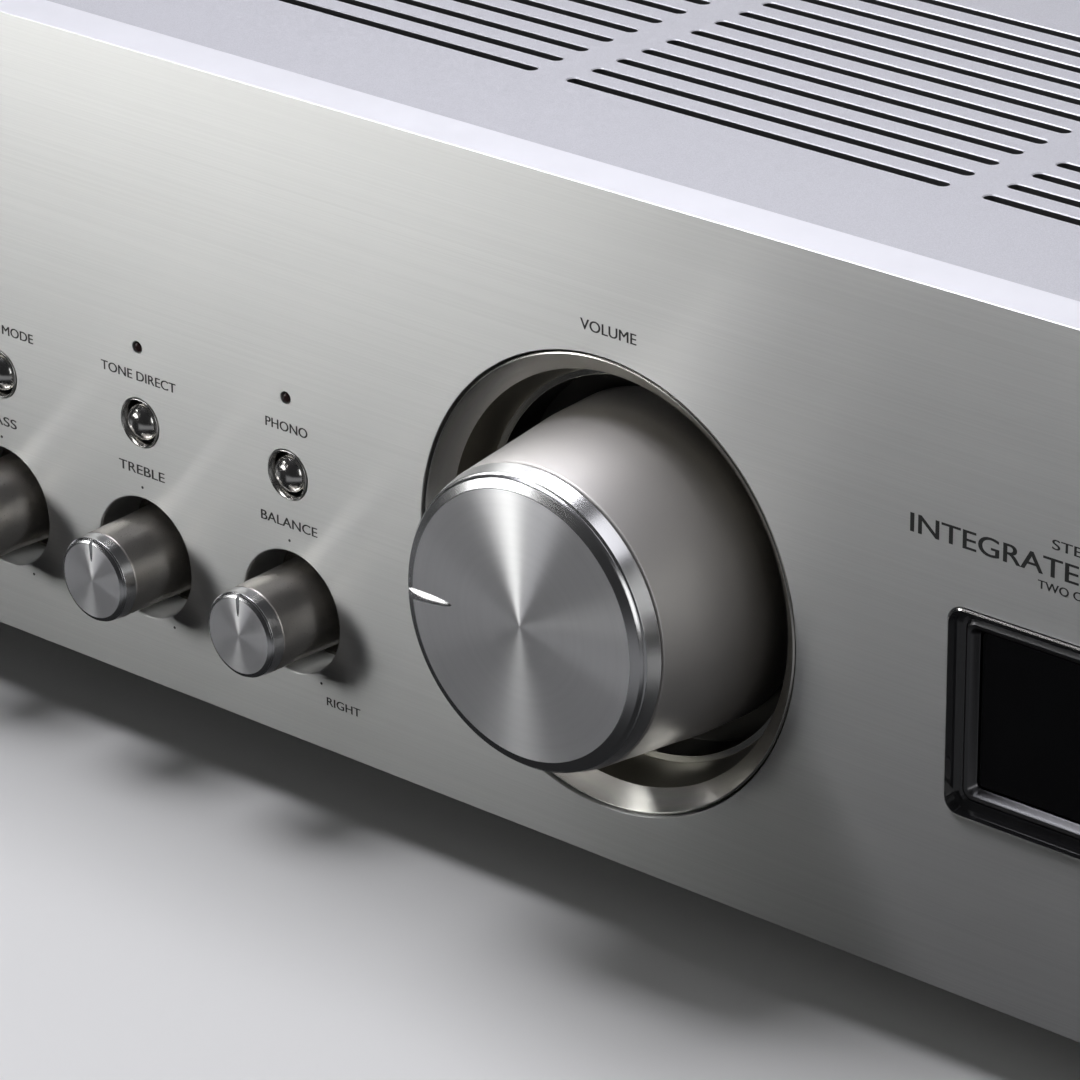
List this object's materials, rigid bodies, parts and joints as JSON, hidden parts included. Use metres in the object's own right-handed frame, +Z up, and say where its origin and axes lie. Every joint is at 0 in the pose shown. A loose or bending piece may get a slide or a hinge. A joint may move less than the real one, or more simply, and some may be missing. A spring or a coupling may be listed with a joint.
{
  "type": "integrated amplifier",
  "caption": "Full-width integrated stereo amplifier with a thick brushed aluminium front, a large recessed volume knob, tone knobs, push buttons, display and vented steel cover.",
  "frame": {"origin": "middle of the footprint, on the plane that the feet stand on", "axes": "+X to the right of someone facing the front, +Y from the front panel to the rear, +Z up"},
  "size_m": [0.434, 0.41, 0.135],
  "materials": {
    "front_panel": "brushed along its length, clear anodised",
    "cover_paint": "fine metallic satin paint",
    "plated_steel": "zinc plated",
    "rear_paint": "satin black paint",
    "satin_aluminium": "bead-blasted satin, champagne silver",
    "spun_aluminium": "turned face with fine circular marks",
    "polished_metal": "polished",
    "display_metal": "dark gloss with a satin inner bevel",
    "dark_glass": "black tinted window",
    "black_plastic": "satin black",
    "indicator_lens": "dark lens, unlit",
    "foot_rubber": "matt black",
    "circuit_board": "green solder mask",
    "transformer_can": "satin grey can",
    "capacitor_sleeve": "dark blue sleeve",
    "heat_sink_metal": "black anodised",
    "brass": "turned"
  },
  "bodies": {
    "root": {"front_panel": "front_panel", "top_cover": "cover_paint", "chassis_base": "plated_steel", "sub_front_plate": "plated_steel", "volume_motor": "plated_steel", "rear_panel": "rear_paint", "volume_recess_cup": "satin_aluminium", "input_recess_cup": "satin_aluminium", "tone_recess_strip": "satin_aluminium", "mode_bezel": "polished_metal", "direct_bezel": "polished_metal", "phono_bezel": "polished_metal", "power_bezel": "polished_metal", "display_frame": "display_metal", "display_window": "dark_glass", "display_module": "black_plastic", "headphone_jack": "black_plastic", "rca_jack_bank": "black_plastic", "ac_inlet": "black_plastic", "speaker_terminal_plate": "black_plastic", "volume_pot": "black_plastic", "bass_pot": "black_plastic", "treble_pot": "black_plastic", "balance_pot": "black_plastic", "input_switch": "black_plastic", "mode_indicator": "indicator_lens", "direct_indicator": "indicator_lens", "phono_indicator": "indicator_lens", "foot_front_left": "foot_rubber", "foot_front_right": "foot_rubber", "foot_rear_left": "foot_rubber", "foot_rear_right": "foot_rubber", "amplifier_board": "circuit_board", "control_board": "circuit_board", "power_transformer": "transformer_can", "filter_capacitor_left": "capacitor_sleeve", "filter_capacitor_right": "capacitor_sleeve", "heat_sink": "heat_sink_metal"},
    "volume": {"volume_knob": "satin_aluminium", "volume_knob_cap": "spun_aluminium", "volume_shaft": "brass", "volume_drive_gear": "brass"},
    "volume_drive": {"motor_pinion": "brass"},
    "bass": {"bass_knob": "satin_aluminium", "bass_shaft": "brass"},
    "treble": {"treble_knob": "satin_aluminium", "treble_shaft": "brass"},
    "balance": {"balance_knob": "satin_aluminium", "balance_shaft": "brass"},
    "input": {"input_knob": "satin_aluminium", "input_shaft": "brass"},
    "mode_push": {"mode_button": "polished_metal"},
    "direct_push": {"direct_button": "polished_metal"},
    "phono_push": {"phono_button": "polished_metal"},
    "power_push": {"power_button": "satin_aluminium"},
    "terminal_cap_1": {"speaker_terminal_cap_1": "black_plastic"},
    "terminal_cap_2": {"speaker_terminal_cap_2": "black_plastic"},
    "terminal_cap_3": {"speaker_terminal_cap_3": "black_plastic"},
    "terminal_cap_4": {"speaker_terminal_cap_4": "black_plastic"},
    "ground_nut": {"ground_terminal_nut": "brass"}
  },
  "joints": [
    {"name": "volume_turn", "type": "hinge", "parent": "root", "child": "volume", "pos_m": [0, -0.1839, 0.0647], "axis": [0, 1, 0], "range_deg": [-57.5, 242.5]},
    {"name": "volume_motor_turn", "type": "hinge", "parent": "root", "child": "volume_drive", "pos_m": [0.0252, -0.1839, 0.0647], "axis": [0, 1, 0], "range_deg": [-608, 146]},
    {"name": "bass_turn", "type": "hinge", "parent": "root", "child": "bass", "pos_m": [-0.1451, -0.1839, 0.0385], "axis": [0, 1, 0], "range_deg": [-150, 150]},
    {"name": "treble_turn", "type": "hinge", "parent": "root", "child": "treble", "pos_m": [-0.1088, -0.1839, 0.0385], "axis": [0, 1, 0], "range_deg": [-150, 150]},
    {"name": "balance_turn", "type": "hinge", "parent": "root", "child": "balance", "pos_m": [-0.0725, -0.1839, 0.0385], "axis": [0, 1, 0], "range_deg": [-150, 150]},
    {"name": "input_turn", "type": "hinge", "parent": "root", "child": "input", "pos_m": [0.165, -0.1839, 0.0647], "axis": [0, 1, 0], "continuous": true},
    {"name": "mode_press", "type": "slide", "parent": "root", "child": "mode_push", "axis": [0, 1, 0], "range_m": [0, 0.0015], "stiffness_N_per_m": 200},
    {"name": "direct_press", "type": "slide", "parent": "root", "child": "direct_push", "axis": [0, 1, 0], "range_m": [0, 0.0015], "stiffness_N_per_m": 200},
    {"name": "phono_press", "type": "slide", "parent": "root", "child": "phono_push", "axis": [0, 1, 0], "range_m": [0, 0.0015], "stiffness_N_per_m": 200},
    {"name": "power_press", "type": "slide", "parent": "root", "child": "power_push", "axis": [0, 1, 0], "range_m": [0, 0.003], "stiffness_N_per_m": 400},
    {"name": "terminal_cap_1_turn", "type": "hinge", "parent": "root", "child": "terminal_cap_1", "pos_m": [0.07, 0.1773, 0.0825], "axis": [0, 1, 0], "range_deg": [-1080, 0]},
    {"name": "terminal_cap_2_turn", "type": "hinge", "parent": "root", "child": "terminal_cap_2", "pos_m": [0.105, 0.1773, 0.0825], "axis": [0, 1, 0], "range_deg": [-1080, 0]},
    {"name": "terminal_cap_3_turn", "type": "hinge", "parent": "root", "child": "terminal_cap_3", "pos_m": [0.135, 0.1773, 0.0825], "axis": [0, 1, 0], "range_deg": [-1080, 0]},
    {"name": "terminal_cap_4_turn", "type": "hinge", "parent": "root", "child": "terminal_cap_4", "pos_m": [0.17, 0.1773, 0.0825], "axis": [0, 1, 0], "range_deg": [-1080, 0]},
    {"name": "ground_nut_turn", "type": "hinge", "parent": "root", "child": "ground_nut", "pos_m": [-0.131, 0.1773, 0.088], "axis": [0, 1, 0], "range_deg": [-1080, 0]}
  ],
  "couplings": [
    {"joint": "volume_motor_turn", "follows": "volume_turn", "ratio": -2.5}
  ]
}
